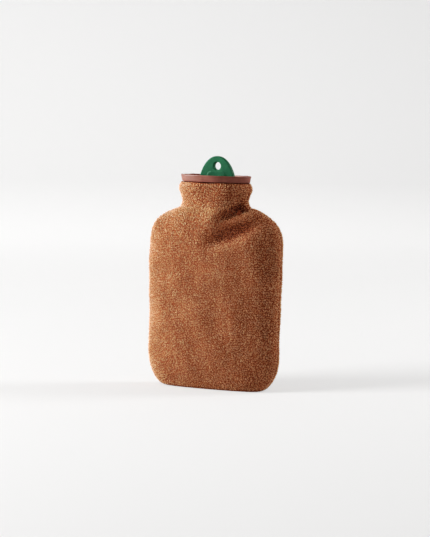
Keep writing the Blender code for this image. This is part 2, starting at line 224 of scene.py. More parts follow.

# The bottle. It fills its cover up to this section, and has a top of its own above it.
FILLED = 9
BOTTLE_TOP = (
    Section(0.1780, 0.0925, 0.0226, 2.40, 0.0002),
    Section(0.1950, 0.0860, 0.0180, 2.40, 0.0004),
    Section(0.2070, 0.0730, 0.0152, 2.30, 0.0003),
    Section(0.2170, 0.0540, 0.0150, 2.20, 0.0002),
    Section(0.2260, 0.0360, 0.0160, 2.10, 0.0000),
    Section(0.2360, 0.0290, 0.0180, 2.00, 0.0000),
    Section(0.2480, 0.0310, 0.0206, 2.00, 0.0000),
    Section(0.2600, 0.0380, 0.0232, 2.05, 0.0000),
    Section(0.2690, 0.0422, 0.0244, 2.10, 0.0000),
    Section(RIM_TOP - BAND, 0.0429, 0.0239, 2.10, 0.0000),
)
HOLLOWED = 5  # the sections of its top that the hollow follows
RIM_SQUARE = 2.10
RIM = (  # height over the rim's lower edge, half width, and reach to the front and back
    (0.0000, 0.0450, 0.0260),
    (0.0000, 0.0474, 0.0281),
    (0.0003, 0.0480, 0.0287),
    (0.0009, 0.0483, 0.0290),
    (0.0030, 0.0487, 0.0295),
    (0.0058, 0.0492, 0.0301),
    (0.0080, 0.0496, 0.0306),
    (0.0088, 0.0497, 0.0308),
    (0.0092, 0.0494, 0.0305),
    (0.0095, 0.0488, 0.0300),
    (0.0095, 0.0480, 0.0293),
    (0.0093, 0.0475, 0.0287),
    (0.0086, 0.0471, 0.0283),
)
RIM_OUTSIDE = slice(1, 9)  # its rows that face outward
RIM_WAVES = ((0.00016, 3, 0.7), (0.00012, 7, 2.1), (0.00010, 17, 0.4))  # height, number, phase
RIM_WAVY_FROM = 0.0060
RIM_WAVY_OVER = 0.0025
RIM_TRIMMED = 0.00045  # off the top all round
RIM_BURR = 0.00045  # a bit of rubber that the trimming left
RIM_BURR_AT = 3.52  # its place round the rim, in radians
RIM_BURR_HALF_WIDTH = 0.05
PARTING_RIDGE = 0.00030  # where the two halves of the mould met, at both ends of the rim
PARTING_HALF_WIDTH = 0.035  # in radians
FUNNEL_INSIDE = (
    Section(0.2800, 0.0466, 0.0277, 2.10, 0.0000),
    Section(0.2779, 0.0460, 0.0270, 2.10, 0.0000),
    Section(0.2770, 0.0452, 0.0262, 2.10, 0.0000),
    Section(0.2758, 0.0436, 0.0246, 2.10, 0.0000),
    Section(0.2748, 0.0417, 0.0227, 2.10, 0.0000),
    Section(0.2738, 0.0405, 0.0217, 2.10, 0.0000),
    Section(0.2715, 0.0400, 0.0215, 2.10, 0.0000),
    Section(0.2670, 0.0382, 0.0211, 2.08, 0.0003),
    Section(0.2620, 0.0350, 0.0206, 2.05, 0.0006),
    Section(0.2590, 0.0308, 0.0198, 2.02, 0.0014),
    Section(0.2565, 0.0260, 0.0190, 2.00, AXIS_X),
    Section(0.2552, 0.0215, 0.0181, 2.00, AXIS_X),
    Section(SEAT, 0.0188, 0.0175, 2.00, AXIS_X),
    Section(SEAT, 0.0165, 0.0160, 2.00, AXIS_X),
    Section(SEAT, SOCKET_R + GAP, SOCKET_R + GAP, 2.00, AXIS_X),
    Section(BORE_END, SOCKET_R + GAP, SOCKET_R + GAP, 2.00, AXIS_X),
    Section(0.2330, 0.0185, 0.0148, 2.00, AXIS_X),
)
BOTTLE_AROUND = 144

# The materials' tones.
PILE_SHEEN = 0.7
BACKING_SHEEN = 0.0
# The pile's ramp runs from the painted shade of the curls' ends and sides and of the folds' valleys up to
# the lightest curls' tops.
PILE_TONES = (
    (0.05, (0.300, 0.076, 0.027)),
    (0.30, (0.440, 0.157, 0.066)),
    (0.65, (0.605, 0.318, 0.170)),
    (1.00, (0.740, 0.520, 0.325)),
)
# The backing's ramp is darker than the pile's, as painted shade deep between the curls; its dark end is the
# painted shade of the folds' valleys.
BACKING_TONES = ((0.0, (0.110, 0.029, 0.011)), (1.0, (0.240, 0.072, 0.030)))
BOTTLE_RUBBER = ((0.190, 0.062, 0.040), (0.260, 0.100, 0.070))
WASHER_RUBBER = ((0.05, 0.018, 0.012), (0.09, 0.034, 0.024))
GREEN = ((0.32, (0.0095, 0.104, 0.047)), (0.70, (0.0190, 0.138, 0.066)))
WHITE = (1.0, 1.0, 1.0)

# The ground is a round floor that turns up into a round wall.
FLOOR_RINGS = (0.0, 0.4, 1.2, 2.2)
FLOOR_R = 3.2
BEND_R = 1.2
BEND_POINTS = 14
WALL_TOP = 4.5
STAGE_AROUND = 72
STAGE_WELD = 0.0001
STAGE_TONES = ((0.3, (0.60, 0.60, 0.60)), (0.7, (0.61, 0.61, 0.61)))
STAGE_TONE_SEEN = (0.35, 0.35, 0.35)
STAGE_GLOW = 0.490
STAGE_GLOW_SLOPE = (-0.088, 0.035, -0.10)  # how the glow grows with each metre of x, y and z
WALL_GLOW_DROPS_BY = 0.75  # how much the painted glow drops for each metre up the wall
# the most that the painted glow drops on the wall
WALL_GLOW_DROPS_TO = 0.13

# A light: where it stands, its width and height, its power in watts, and its colour.
Light = namedtuple("Light", "place size power color")

KEY = Light((-2.24, -0.73, 0.90), (1.2, 1.3), 136, (1.0, 1.04, 1.08))
BACK = Light((1.70, 1.45, 1.5), (0.9, 1.2), 36, WHITE)
SHADE = Light((-1.7, -2.1, 1.24), (1.4, 1.4), 120, WHITE)
LIGHTS_AIM = (0, 0, 0.14)
ROOM_COLOR = (1.0, 0.96, 0.92, 1)
ROOM_LIGHT = 0.48

# Points of the tone curve, from the scene's light to the picture's, besides (0, 0) and (1, 1).
TONE_CURVE = (
    (0.01, 0.0035),
    (0.02, 0.0075),
    (0.05, 0.0265),
    (0.08, 0.0530),
    (0.12, 0.0930),
    (0.20, 0.1980),
    (0.33, 0.3600),
    (0.50, 0.5350),
    (0.70, 0.7200),
)
ALL_COLORS = 3  # the view's curve for red, green and blue together

ON_GROUND = 1e-6  # a point that is lower than this lies on the ground
WELD = 1e-6  # points that are nearer to each other than this become one
NO_LENGTH = 1e-12  # stands for no length where it divides
BEFORE_LAST = 1.001  # keeps a fractional place in a grid short of its last row or column


def collection(name):
    made = bpy.data.collections.new(name)
    bpy.context.scene.collection.children.link(made)
    return made


def add(name, mesh, where):
    obj = bpy.data.objects.new(name, mesh)
    where.objects.link(obj)
    return obj


def shade_smooth(obj):
    obj.data.polygons.foreach_set("use_smooth", np.ones(len(obj.data.polygons), bool))


def finish_with(obj, material):
    obj.data.materials.clear()
    obj.data.materials.append(material)


def unit(vectors):
    return vectors / np.maximum(np.linalg.norm(vectors, axis=-1, keepdims=True), NO_LENGTH)


def smooth_sections(table, step, end):
    """Sections this far apart up the table, smooth between its own, to this far from its top.

    The way from one to the next counts what their heights, half widths and depths differ by.
    """
    rows = np.array(table)
    lengths = np.linalg.norm(np.diff(rows[:, :3], axis=0), axis=1)
    slopes = np.diff(rows, axis=0) / lengths[:, None]
    before, after = lengths[:-1, None], lengths[1:, None]
    inner = (slopes[:-1] * after + slopes[1:] * before) / (before + after)
    tangents = np.vstack([slopes[:1], inner, slopes[-1:]])
    starts = np.concatenate([[0], np.cumsum(lengths)])
    wanted = np.arange(0, starts[-1] - end, step)
    index = np.clip(np.searchsorted(starts, wanted, side="right") - 1, 0, len(lengths) - 1)
    length = lengths[index][:, None]
    t = ((wanted - starts[index]) / lengths[index])[:, None]
    low, high = rows[index], rows[index + 1]
    made = (2 * t**3 - 3 * t**2 + 1) * low + (3 * t**2 - 2 * t**3) * high
    made += (t**3 - 2 * t**2 + t) * length * tangents[index]
    made += (t**3 - t**2) * length * tangents[index + 1]
    return [Section(*row) for row in made]


def half_ring(section, side, count):
    """Evenly spaced points of one half of a section, from -X to +X. side is -1 at the front."""
    angle = np.linspace(math.pi, 0, SECTION_POINTS)
    c, s = np.cos(angle), np.abs(np.sin(angle))
    x = section.half_width * np.sign(c) * np.abs(c) ** (2 / section.square) + section.lean
    y = side * section.depth * s ** (2 / section.square)
    length = np.concatenate([[0], np.cumsum(np.hypot(np.diff(x), np.diff(y)))])
    even = np.linspace(0, length[-1], count)
    x, y = np.interp(even, length, x), np.interp(even, length, y)
    return np.stack([x, y, np.full(count, section.z)], axis=1)


def along(path, x, z):
    """How far each point lies from a path in x and z, its share of the way along, and its side.

    The side goes from -1 above the path to 1 under it, for a path that runs to the left.
    """
    path = np.array(path)
    lengths = np.linalg.norm(np.diff(path, axis=0), axis=1)
    starts = np.concatenate([[0], np.cumsum(lengths)])
    nearest = np.full(np.shape(x), np.inf)
    share = np.zeros(np.shape(x))
    below = np.zeros(np.shape(x))
    for a, b, length, start in zip(path[:-1], path[1:], lengths, starts, strict=False):
        t = ((x - a[0]) * (b[0] - a[0]) + (z - a[1]) * (b[1] - a[1])) / length**2
        t = np.clip(t, 0, 1)
        right, up = x - a[0] - t * (b[0] - a[0]), z - a[1] - t * (b[1] - a[1])
        away = np.maximum(np.hypot(right, up), NO_LENGTH)
        side = ((b[0] - a[0]) * up - (b[1] - a[1]) * right) / (length * away)
        share = np.where(away < nearest, (start + t * length) / starts[-1], share)
        below = np.where(away < nearest, side, below)
        nearest = np.minimum(nearest, away)
    return nearest, share, below


def fold_depth(points):
    """How far the folds move each point of the front panel out along its normal."""
    out = np.zeros(points.shape[:2])
    for fold in FOLDS:
        away, share, below = along(fold.path, points[..., 0], points[..., 2])
        from_middle = 2 * share - 1
        lost = np.where(from_middle < 0, 1 - fold.start, 1 - fold.end) * from_middle**2
        half_width = fold.above + (fold.under - fold.above) * (1 + below) / 2
        out += fold.out * (1 - lost) * np.exp(-((away / half_width) ** 2))
    from_edges = np.minimum(-points[..., 1], COLLAR_TOP - points[..., 2])
    return out * np.clip(from_edges / FOLDS_FADE, 0, 1)


def fold_shade(points, side, above=FOLD_SHADE_RAISED):
    """How much painted shade the folds' valleys get, about -1 in them and 0 off the folds."""
    if side > 0:
        return np.zeros(points.shape[:2])
    return fold_depth(points - (0, 0, above)) / FOLD_SHADE_FULL_AT


def waves(points, seed):
    """A smooth random field over the points, with its crests about SOFT_APART from each other."""
    rng = np.random.default_rng(seed)
    directions = rng.normal(size=(SOFT_WAVES, 3))
    directions /= np.linalg.norm(directions, axis=1, keepdims=True)
    lengths = SOFT_APART * rng.uniform(1 - SOFT_SPREAD, 1 + SOFT_SPREAD, SOFT_WAVES)
    phases = rng.uniform(0, math.tau, SOFT_WAVES)
    flat = points.reshape(-1, 3)
    total = np.zeros(len(flat))
    for direction, length, phase in zip(directions, lengths, phases, strict=True):
        total += np.cos(flat @ (direction * (math.tau / length)) + phase)
    return (total * math.sqrt(2 / SOFT_WAVES)).reshape(points.shape[:-1])


def grid_normals(points, side):
    """The outward normals of a panel's grid, whose rows run up and columns from -X to +X."""
    up = np.gradient(points, axis=0)
    right = np.gradient(points, axis=1)
    return unit(np.cross(right, up) if side < 0 else np.cross(up, right))


def smooth_panel(side):
    """The smooth outside of a panel, from its base seam up to where the hem rounds over."""
    sections = smooth_sections(COVER, GRID_STEP, HEM_ROUND)
    body = np.array([half_ring(section, side, COLUMNS + 1) for section in sections])
    shares = np.linspace(0, 1, int(COVER[0].depth / GRID_STEP), endpoint=False)
    base = np.array([body[0] * (1, share, 1) for share in shares])
    grid = np.concatenate([base, body])
    if len(grid) % BACKING_EVERY == 0:  # the backing's rows, with the hem's, end on the last one
        grid = grid[1:]
    grid[..., 1] += side * GAP / 2
    if side < 0:
        grid = grid + grid_normals(grid, side) * fold_depth(grid)[..., None]
    return grid


def seam_distance(grid):
    """How far each point lies from the seam, along the side or the base."""
    across = np.linalg.norm(np.diff(grid, axis=1), axis=2)
    from_left = np.concatenate([np.zeros((len(grid), 1)), np.cumsum(across, axis=1)], axis=1)
    from_side = np.minimum(from_left, from_left[:, -1:] - from_left)
    from_base = np.where(grid[..., 2] < ON_GROUND, np.abs(grid[..., 1]), np.inf)
    return np.minimum(from_side, from_base)


def keep_inside(points, side):
    """The points kept on their own side of the seam, over the ground and under the rim."""
    kept = points.copy()
    kept[..., 1] = side * np.maximum(side * kept[..., 1], GAP / 2)
    kept[..., 2] = np.clip(kept[..., 2], 0, COLLAR_TOP)
    return kept


def panel_outside(side, seed):
    """The outside of a panel's pile: drawn in at its seams, softly uneven, with its rounded hem."""
    grid = smooth_panel(side)
    normals = grid_normals(grid, side)
    from_seam, height = seam_distance(grid), grid[..., 2]
    soft = SOFT_HEIGHT * waves(grid, seed)
    soft *= np.clip(from_seam / SOFT_FROM_SEAM, 0, 1) * np.clip(height / SOFT_FROM_BASE, 0, 1)
    dip = -SEAM_DIP * np.exp(-((from_seam / SEAM_HALF_WIDTH) ** 2))
    off_ground = np.clip(height / SEAM_FROM_BASE, 0, 1)
    outside = grid + normals * (soft + dip * off_ground)[..., None]
    inward = unit(-normals[-1] * (1, 1, 0))
    rise = COLLAR_TOP - height[-1, 0]
    hem = []
    for angle in np.linspace(0, math.pi / 2, HEM_STEPS + 1)[1:]:
        moved = outside[-1] + inward * HEM_ROUND * (1 - math.cos(angle))
        hem.append(moved + np.array([0, 0, rise * math.sin(angle)]))
    return keep_inside(np.concatenate([outside, hem]), side)


def leaned(points):
    """The points with the rim and the collar's top leaned down to +X, over the upright neck."""
    moved = points.copy()
    share = np.clip((points[..., 2] - LEAN_FROM) / LEAN_OVER, 0, 1)
    moved[..., 2] -= LEAN * points[..., 0] * share
    return moved


def shell_mesh(name, outer, inner):
    """A closed shell from an outside grid and an inside one with fewer columns."""
    wide, narrow = outer.shape[1], inner.shape[1]
    loop = np.concatenate([outer, inner[:, ::-1]], axis=1)
    index = np.arange(loop.shape[0] * loop.shape[1]).reshape(loop.shape[:2])
    low, high = index[:-1], index[1:]
    quads = np.stack([low, np.roll(low, -1, axis=1), np.roll(high, -1, axis=1), high], axis=-1)
    faces = quads.reshape(-1, 4).tolist()
    for row, turn in ((index[0], -1), (index[-1], 1)):
        outside, inside = row[:wide], row[wide:][::-1]
        for k in range(narrow - 1):
            edge = [*outside[k * INSIDE_EVERY : (k + 1) * INSIDE_EVERY + 1], inside[k + 1], inside[k]]
            faces.append([int(corner) for corner in edge[::turn]])
    mesh = bpy.data.meshes.new(name)
    mesh.from_pydata(loop.reshape(-1, 3).tolist(), [], faces)
    shape = bmesh.new()
    shape.from_mesh(mesh)
    bmesh.ops.recalc_face_normals(shape, faces=shape.faces)
    shape.to_mesh(mesh)
    shape.free()
    return mesh


def set_tones_of(mesh, tones):
    """Gives each point of the mesh the value that fleece_material reads its tone from."""
    values = tones.ravel().astype(np.float32)
    mesh.attributes.new("curl", "FLOAT", "POINT").data.foreach_set("value", values)


def make_backing(name, side, grid, where):
    """The cloth that the pile grows from, as one closed sheet, with painted shade in the folds' valleys."""
    grid = grid[::BACKING_EVERY, ::BACKING_EVERY]
    normals = grid_normals(grid, side)
    from_top = (COLLAR_TOP - grid[..., 2]) / PILE_SUNK_FROM_TOP
    from_base = grid[..., 2] / PILE_SUNK_FROM_BASE
    sunk = PILE_SUNK * np.clip(np.minimum(from_top, from_base), PILE_SUNK_LEAST, 1)
    outer = keep_inside(grid - normals * sunk[..., None], side)
    inner = keep_inside((grid - normals * CLOTH)[:, ::INSIDE_EVERY], side)
    mesh = shell_mesh(name, leaned(outer), leaned(inner))
    # painted shade where the folds' valleys are
    painted_shade = np.minimum(fold_shade(grid, side), fold_shade(grid, side, 0))
    tone_with_fold_shade = 1 - np.clip(-painted_shade, 0, 1)
    set_tones_of(mesh, np.concatenate([tone_with_fold_shade, np.ones(inner.shape[:2])], axis=1))
    backing = add(name, mesh, where)
    shade_smooth(backing)
    return backing


def curl_places(grid, rng):
    """Scattered places on the grid about CURL_APART from each other, as fractional rows and columns."""
    up = np.linalg.norm(np.diff(grid, axis=0), axis=2).mean(axis=1)
    height = np.concatenate([[0], np.cumsum(up)])
    rows, columns = [], []
    row_count = round(height[-1] / CURL_APART)
    for k in range(row_count):
        row = np.interp((k + 0.5) * height[-1] / row_count, height, np.arange(len(height)))
        width = np.linalg.norm(np.diff(grid[int(row)], axis=0), axis=1).sum()
        count = int(width / CURL_APART)
        first = 0.25 + 0.5 * (k % 2)  # every second row is shifted by half a place
        places = np.arange(count) + first + rng.uniform(-CURL_STRAY, CURL_STRAY, count)
        columns.append(np.clip(places / count, 0, 1) * (grid.shape[1] - BEFORE_LAST))
        spacing = CURL_APART / max(up[int(row)], NO_LENGTH)
        rows.append(row + rng.uniform(-CURL_STRAY, CURL_STRAY, count) * spacing)
    return np.clip(np.concatenate(rows), 0, len(grid) - BEFORE_LAST), np.concatenate(columns)


def between(values, row, column):
    """The grid's values at fractional rows and columns."""
    low_row, low_column = row.astype(int), column.astype(int)
    up, right = (row - low_row)[:, None], (column - low_column)[:, None]
    low = values[low_row, low_column] * (1 - right) + values[low_row, low_column + 1] * right
    high = values[low_row + 1, low_column] * (1 - right) + values[low_row + 1, low_column + 1] * right
    return low * (1 - up) + high * up


def curl_map(count):
    """A flat place for each curl's three sides, side by side in a cell of its own."""
    cells = math.ceil(math.sqrt(count))
    low_tip, low, high, high_tip = 0.06, 0.36, 0.64, 0.94
    corners = []
    for k in range(3):
        left, middle, right = ((k + share) / 3 for share in (0.1, 0.5, 0.9))
        corners += [(middle, low_tip), (left, low), (right, low)]
        corners += [(right, low), (left, low), (left, high), (right, high)]
        corners += [(middle, high_tip), (right, high), (left, high)]
    row, column = np.divmod(np.arange(count), cells)
    cell = np.stack([column, row], axis=1)[:, None, :]
    return ((cell + np.array(corners)) / cells).ravel().astype(np.float32)


def curl_faces(count):
    """The faces of the curls. Each has a tip, two rings of three points, and another tip."""
    faces = []
    for k, after in ((0, 1), (1, 2), (2, 0)):
        faces.append((0, 1 + k, 1 + after))
        faces.append((1 + after, 1 + k, 4 + k, 4 + after))
        faces.append((7, 4 + after, 4 + k))
    return [[corner + CURL_POINTS * i for corner in face] for i in range(count) for face in faces]


def make_curls(name, side, grid, seed, where):
    """Short bent curls of pile all over a panel: closed and smooth, with their ends in the backing."""
    rng = np.random.default_rng(seed)
    row, column = curl_places(grid, rng)
    count = len(row)
    normal = unit(between(grid_normals(grid, side), row, column))
    centre = between(grid, row, column)
    turn = rng.uniform(0, math.tau, (count, 1))
    level = unit(np.cross(normal, CURL_TURNS_FROM))
    ahead = level * np.cos(turn) + np.cross(normal, level) * np.sin(turn)
    aside = np.cross(normal, ahead)
    half = CURL_LENGTH / 2 * rng.uniform(*CURL_LENGTHS, (count, 1))
    bend = rng.uniform(*CURL_BENDS, (count, 1))
    size = rng.uniform(*CURL_SIZES, (count, 1))
    sunk = CURL_HALF_HEIGHT + rng.uniform(*CURL_SINKS, (count, 1))
    tone = rng.uniform(0, 1, count)
    # painted shade in the folds' valleys darkens these curls
    fold_shade_depth = between(fold_shade(grid, side)[..., None], row, column)[:, 0]
    painted_shade = 1 - FOLD_SHADE_DARKER * np.clip(-fold_shade_depth, 0, 1)
    points, tones = [], []
    for place, share in CURL_STATIONS:
        middle = centre + ahead * half * place + aside * half * bend * (place**2 - CURL_BEND_AROUND)
        middle = middle - normal * (sunk + CURL_ENDS_SINK * place**2)
        # a sunken end gets painted shade
        if share == 0:
            points.append(middle)
            tones.append(CURL_TIP_SHADED * tone * painted_shade)
            continue
        across = unit(np.cross(normal, ahead + 2 * place * bend * aside))
        wide = across * CURL_HALF_WIDTH * size * share
        tall = normal * CURL_HALF_HEIGHT * size * share
        under = CURL_SIDES_SINK * tall
        # its sides get painted shade, its top none
        for offset, lit in ((-wide - under, CURL_SIDE_SHADED), (tall, 1.0), (wide - under, CURL_SIDE_SHADED)):
            points.append(middle + offset)
            tones.append(lit * (CURL_TONE + CURL_TONE_DRAWN * tone) * painted_shade)
    points = leaned(keep_inside(np.stack(points, axis=1), side))
    mesh = bpy.data.meshes.new(name)
    mesh.from_pydata(points.reshape(-1, 3).tolist(), [], curl_faces(count))
    set_tones_of(mesh, np.stack(tones, axis=1))
    mesh.uv_layers.new(name="OFBake").data.foreach_set("uv", curl_map(count))
    curls = add(name, mesh, where)
    shade_smooth(curls)
    return curls


def angles_round(count):
    return math.tau * (np.arange(count) + 0.5) / count


def ring(section, count):
    """Points round a whole section."""
    angle = angles_round(count)
    c, s = np.cos(angle), np.sin(angle)
    x = section.half_width * np.sign(c) * np.abs(c) ** (2 / section.square) + section.lean
    y = section.depth * np.sign(s) * np.abs(s) ** (2 / section.square)
    return np.stack([x, y, np.full(count, section.z)], axis=1)


def ring_normals(points):
    round_it = np.roll(points, -1, axis=1) - np.roll(points, 1, axis=1)
    across = np.cross(round_it, np.gradient(points, axis=0))
    return across / np.linalg.norm(across, axis=2, keepdims=True)


def rim_rings(count):
    """The band of the rim, a little wavy along its trimmed top, with its mould's parting ridges."""
    sections = [Section(RIM_TOP - BAND + z, wide, deep, RIM_SQUARE, 0.0) for z, wide, deep in RIM]
    rings = np.array([ring(section, count) for section in sections])
    angle = angles_round(count)
    wavy = sum(height * np.sin(number * angle + phase) for height, number, phase in RIM_WAVES)
    burr = RIM_BURR * np.exp(-(((angle - RIM_BURR_AT) / RIM_BURR_HALF_WIDTH) ** 2))
    heights = np.array([z for z, _, _ in RIM])
    top = np.clip((heights - RIM_WAVY_FROM) / RIM_WAVY_OVER, 0, 1)[:, None]
    rings[..., 2] += top * (wavy + burr - RIM_TRIMMED)
    outside = np.zeros((len(RIM), 1))
    outside[RIM_OUTSIDE] = 1
    for end in (0.0, math.pi):
        turn = np.angle(np.exp(1j * (angle - end)))
        ridge = PARTING_RIDGE * np.exp(-((turn / PARTING_HALF_WIDTH) ** 2))
        rings[..., 0] += np.cos(end) * outside * ridge
    return rings


def make_bottle(where):
    """The bottle, as one skin: up its outside, over its rim, down its funnel and round its hollow."""
    count = BOTTLE_AROUND
    cover = np.array([ring(section, count) for section in COVER[: FILLED + 1]])
    low = (cover - ring_normals(cover) * (CLOTH + ROOM))[:FILLED]
    outside = np.concatenate([low, [ring(section, count) for section in BOTTLE_TOP]])
    hollow = (outside - ring_normals(outside) * RUBBER)[FILLED + HOLLOWED - 1 :: -1]
    funnel = [ring(section, count) for section in FUNNEL_INSIDE]
    rings = leaned(np.array([*outside, *rim_rings(count), *funnel, *hollow]))
    shape = bmesh.new()
    rows = [[shape.verts.new(point) for point in points] for points in rings]
    for lower, upper in zip(rows[:-1], rows[1:], strict=True):
        for j in range(count):
            k = (j + 1) % count
            shape.faces.new((lower[j], lower[k], upper[k], upper[j]))
    shape.faces.new(rows[0][::-1])
    shape.faces.new(rows[-1])
    bmesh.ops.recalc_face_normals(shape, faces=shape.faces)
    mesh = bpy.data.meshes.new("rubber_bottle")
    shape.to_mesh(mesh)
    shape.free()
    bottle = add("rubber_bottle", mesh, where)
    shade_smooth(bottle)
    return bottle


def mesh_of(obj, where):
    """The object's evaluated shape as a welded mesh object, in place of it."""
    bpy.context.view_layer.update()
    graph = bpy.context.evaluated_depsgraph_get()
    mesh = bpy.data.meshes.new_from_object(obj.evaluated_get(graph))
    mesh.transform(obj.matrix_world)
    shape = bmesh.new()
    shape.from_mesh(mesh)
    bmesh.ops.remove_doubles(shape, verts=shape.verts, dist=WELD)
    bmesh.ops.recalc_face_normals(shape, faces=shape.faces)
    shape.to_mesh(mesh)
    shape.free()
    name = obj.name
    bpy.data.objects.remove(obj)
    return add(name, mesh, where)


def slab(name, outline, thickness, edge, steps, where):
    """An upright plate with this outline in x and z, and with rounded edges."""
    data = bpy.data.curves.new(name, "CURVE")
    data.dimensions = "2D"
    data.fill_mode = "BOTH"
    data.extrude = thickness / 2
    spline = data.splines.new("POLY")
    spline.points.add(len(outline) - 1)
    for point, (x, z) in zip(spline.points, outline, strict=True):
        point.co = (x, z, 0, 1)
    spline.use_cyclic_u = True
    curve = add(name, data, where)
    curve.location.x = AXIS_X
    curve.rotation_euler.x = math.pi / 2
    plate = mesh_of(curve, where)
    rounding = plate.modifiers.new("edges", "BEVEL")
    rounding.width = edge
    rounding.segments = steps
    rounding.limit_method = "ANGLE"
    rounding.angle_limit = SHARP
    return plate


def tab_outline():
    """The tab's outline: the arc of an ellipse over its widest place, and drawn in sides under it."""
    tall = TAB_TOP - TAB_CENTRE
    wide = TAB_HALF_AT_RIM / math.sqrt(1 - ((RIM_TOP - TAB_CENTRE) / tall) ** 2)
    start = math.asin((TAB_WIDEST - TAB_CENTRE) / tall)
    upper = np.linspace(start, math.pi - start, TAB_ARC_POINTS)
    points = [(wide * math.cos(a), TAB_CENTRE + tall * math.sin(a)) for a in upper]
    widest = points[0][0]
    drop = TAB_WIDEST - FLANGE_BASE - FLANGE / 2
    lower = np.linspace(*TAB_LOWER, TAB_LOWER_POINTS)
    drawn_in = [(widest * (1 - u**TAB_DRAWN_IN), TAB_WIDEST - drop * u) for u in lower]
    left = [(-x, z) for x, z in drawn_in]
    return points + left + drawn_in[::-1]


def hub_outline():
    """The outline of the raised hub on the tab: a block with two round upper corners."""
    bottom = FLANGE_BASE + FLANGE / 2
    points = [(-HUB_HALF_WIDTH, bottom), (HUB_HALF_WIDTH, bottom)]
    for side, start in ((1, 0), (-1, math.pi / 2)):
        for a in np.linspace(start, start + math.pi / 2, HUB_CORNER_POINTS):
            x = side * (HUB_HALF_WIDTH - HUB_CORNER) + HUB_CORNER * math.cos(a)
            points.append((x, HUB_TOP - HUB_CORNER + HUB_CORNER * math.sin(a)))
    return points


def cylinder(name, radius, low, high, where):
    """An upright cylinder on the screw's axis."""
    middle = (AXIS_X, 0, (low + high) / 2)
    bpy.ops.mesh.primitive_cylinder_add(
        vertices=ROUND_VERTICES, radius=radius, depth=high - low, location=middle
    )
    made = bpy.context.object
    made.name = name
    for owner in list(made.users_collection):
        owner.objects.unlink(made)
    where.objects.link(made)
    return made


def thread(where):
    """The thread on the shaft, as a round bead that climbs it."""
    count = int(THREAD_STEPS * THREAD_TURNS) + 1
    data = bpy.data.curves.new("thread", "CURVE")
    data.dimensions = "3D"
    data.bevel_depth = THREAD_R
    data.bevel_resolution = THREAD_ROUNDNESS
    data.use_fill_caps = True
    spline = data.splines.new("POLY")
    spline.points.add(count - 1)
    for k, point in enumerate(spline.points):
        angle = math.tau * k / THREAD_STEPS
        height = THREAD_START + THREAD_PITCH * k / THREAD_STEPS
        point.co = (SHAFT_R * math.cos(angle), SHAFT_R * math.sin(angle), height, 1)
    curve = add("thread", data, where)
    curve.location.x = AXIS_X
    return mesh_of(curve, where)


def combine(target, operation, other):
    step = target.modifiers.new(other.name, "BOOLEAN")
    step.operation = operation
    step.solver = "EXACT"
    step.object = other


def make_stopper(where):
    """Tab, hub, flange and threaded shaft, run together with small fillets as a moulding is."""
    body = slab("green_stopper", tab_outline(), TAB_THICK, TAB_EDGE, TAB_EDGE_STEPS, where)
    hole = cylinder("tab_hole", HOLE_R, -TAB_THICK, TAB_THICK, where)
    hole.location = (AXIS_X + HOLE_X, 0, HOLE_Z)
    hole.rotation_euler = (math.pi / 2, 0, 0)
    tools = [
        slab("hub", hub_outline(), HUB_THICK, HUB_EDGE, HUB_EDGE_STEPS, where),
        cylinder("flange", FLANGE_R, FLANGE_BASE, FLANGE_BASE + FLANGE, where),
        cylinder("shaft", SHAFT_R, SHAFT_END, FLANGE_BASE + FLANGE / 2, where),
        thread(where),
    ]
    combine(body, "DIFFERENCE", hole)
    for piece in tools:
        combine(body, "UNION", piece)
    even = body.modifiers.new("even", "REMESH")
    even.mode = "VOXEL"
    even.voxel_size = MOULD_VOXEL
    even.use_smooth_shade = True
    soft = body.modifiers.new("soft", "SMOOTH")
    soft.factor = MOULD_SOFTENING
    soft.iterations = MOULD_SOFTENINGS
    stopper = mesh_of(body, where)
    for piece in (hole, *tools):
        bpy.data.objects.remove(piece)
    shade_smooth(stopper)
    return stopper


